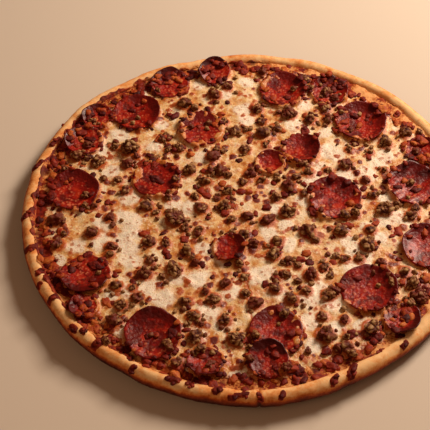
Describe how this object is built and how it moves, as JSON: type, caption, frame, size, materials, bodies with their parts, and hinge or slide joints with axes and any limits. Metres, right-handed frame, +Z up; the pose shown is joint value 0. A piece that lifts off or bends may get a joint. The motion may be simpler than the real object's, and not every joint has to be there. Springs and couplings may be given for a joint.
{
  "type": "pan pizza",
  "caption": "Whole round baked pizza: low bread rim, tomato sauce, melted cheese with sausage crumbles and cupped slices of pepperoni.",
  "frame": {"origin": "centre of the pizza on its flat underside", "axes": "+Z up through the pizza, +Y towards its far side as it is seen in the picture, +X to the right"},
  "size_m": [0.3562, 0.3582, 0.0259],
  "materials": {
    "crust": "baked bread, golden on top and browner down the side",
    "sauce": "moist dark red tomato sauce",
    "cheese": "melted cheese with toasted spots and a light oily sheen, brown sausage crumbles baked in",
    "pepperoni": "cured sausage, mottled with fat, oily"
  },
  "bodies": {
    "root": {"crust": "crust", "sauce": "sauce", "cheese": "cheese", "pepperoni_01": "pepperoni", "pepperoni_02": "pepperoni", "pepperoni_03": "pepperoni", "pepperoni_04": "pepperoni", "pepperoni_05": "pepperoni", "pepperoni_06": "pepperoni", "pepperoni_07": "pepperoni", "pepperoni_08": "pepperoni", "pepperoni_09": "pepperoni", "pepperoni_10": "pepperoni", "pepperoni_11": "pepperoni", "pepperoni_12": "pepperoni", "pepperoni_13": "pepperoni", "pepperoni_14": "pepperoni", "pepperoni_15": "pepperoni", "pepperoni_16": "pepperoni", "pepperoni_17": "pepperoni", "pepperoni_18": "pepperoni", "pepperoni_19": "pepperoni", "pepperoni_20": "pepperoni", "pepperoni_21": "pepperoni", "pepperoni_22": "pepperoni", "pepperoni_23": "pepperoni", "pepperoni_24": "pepperoni", "pepperoni_25": "pepperoni", "pepperoni_26": "pepperoni"}
  },
  "joints": []
}
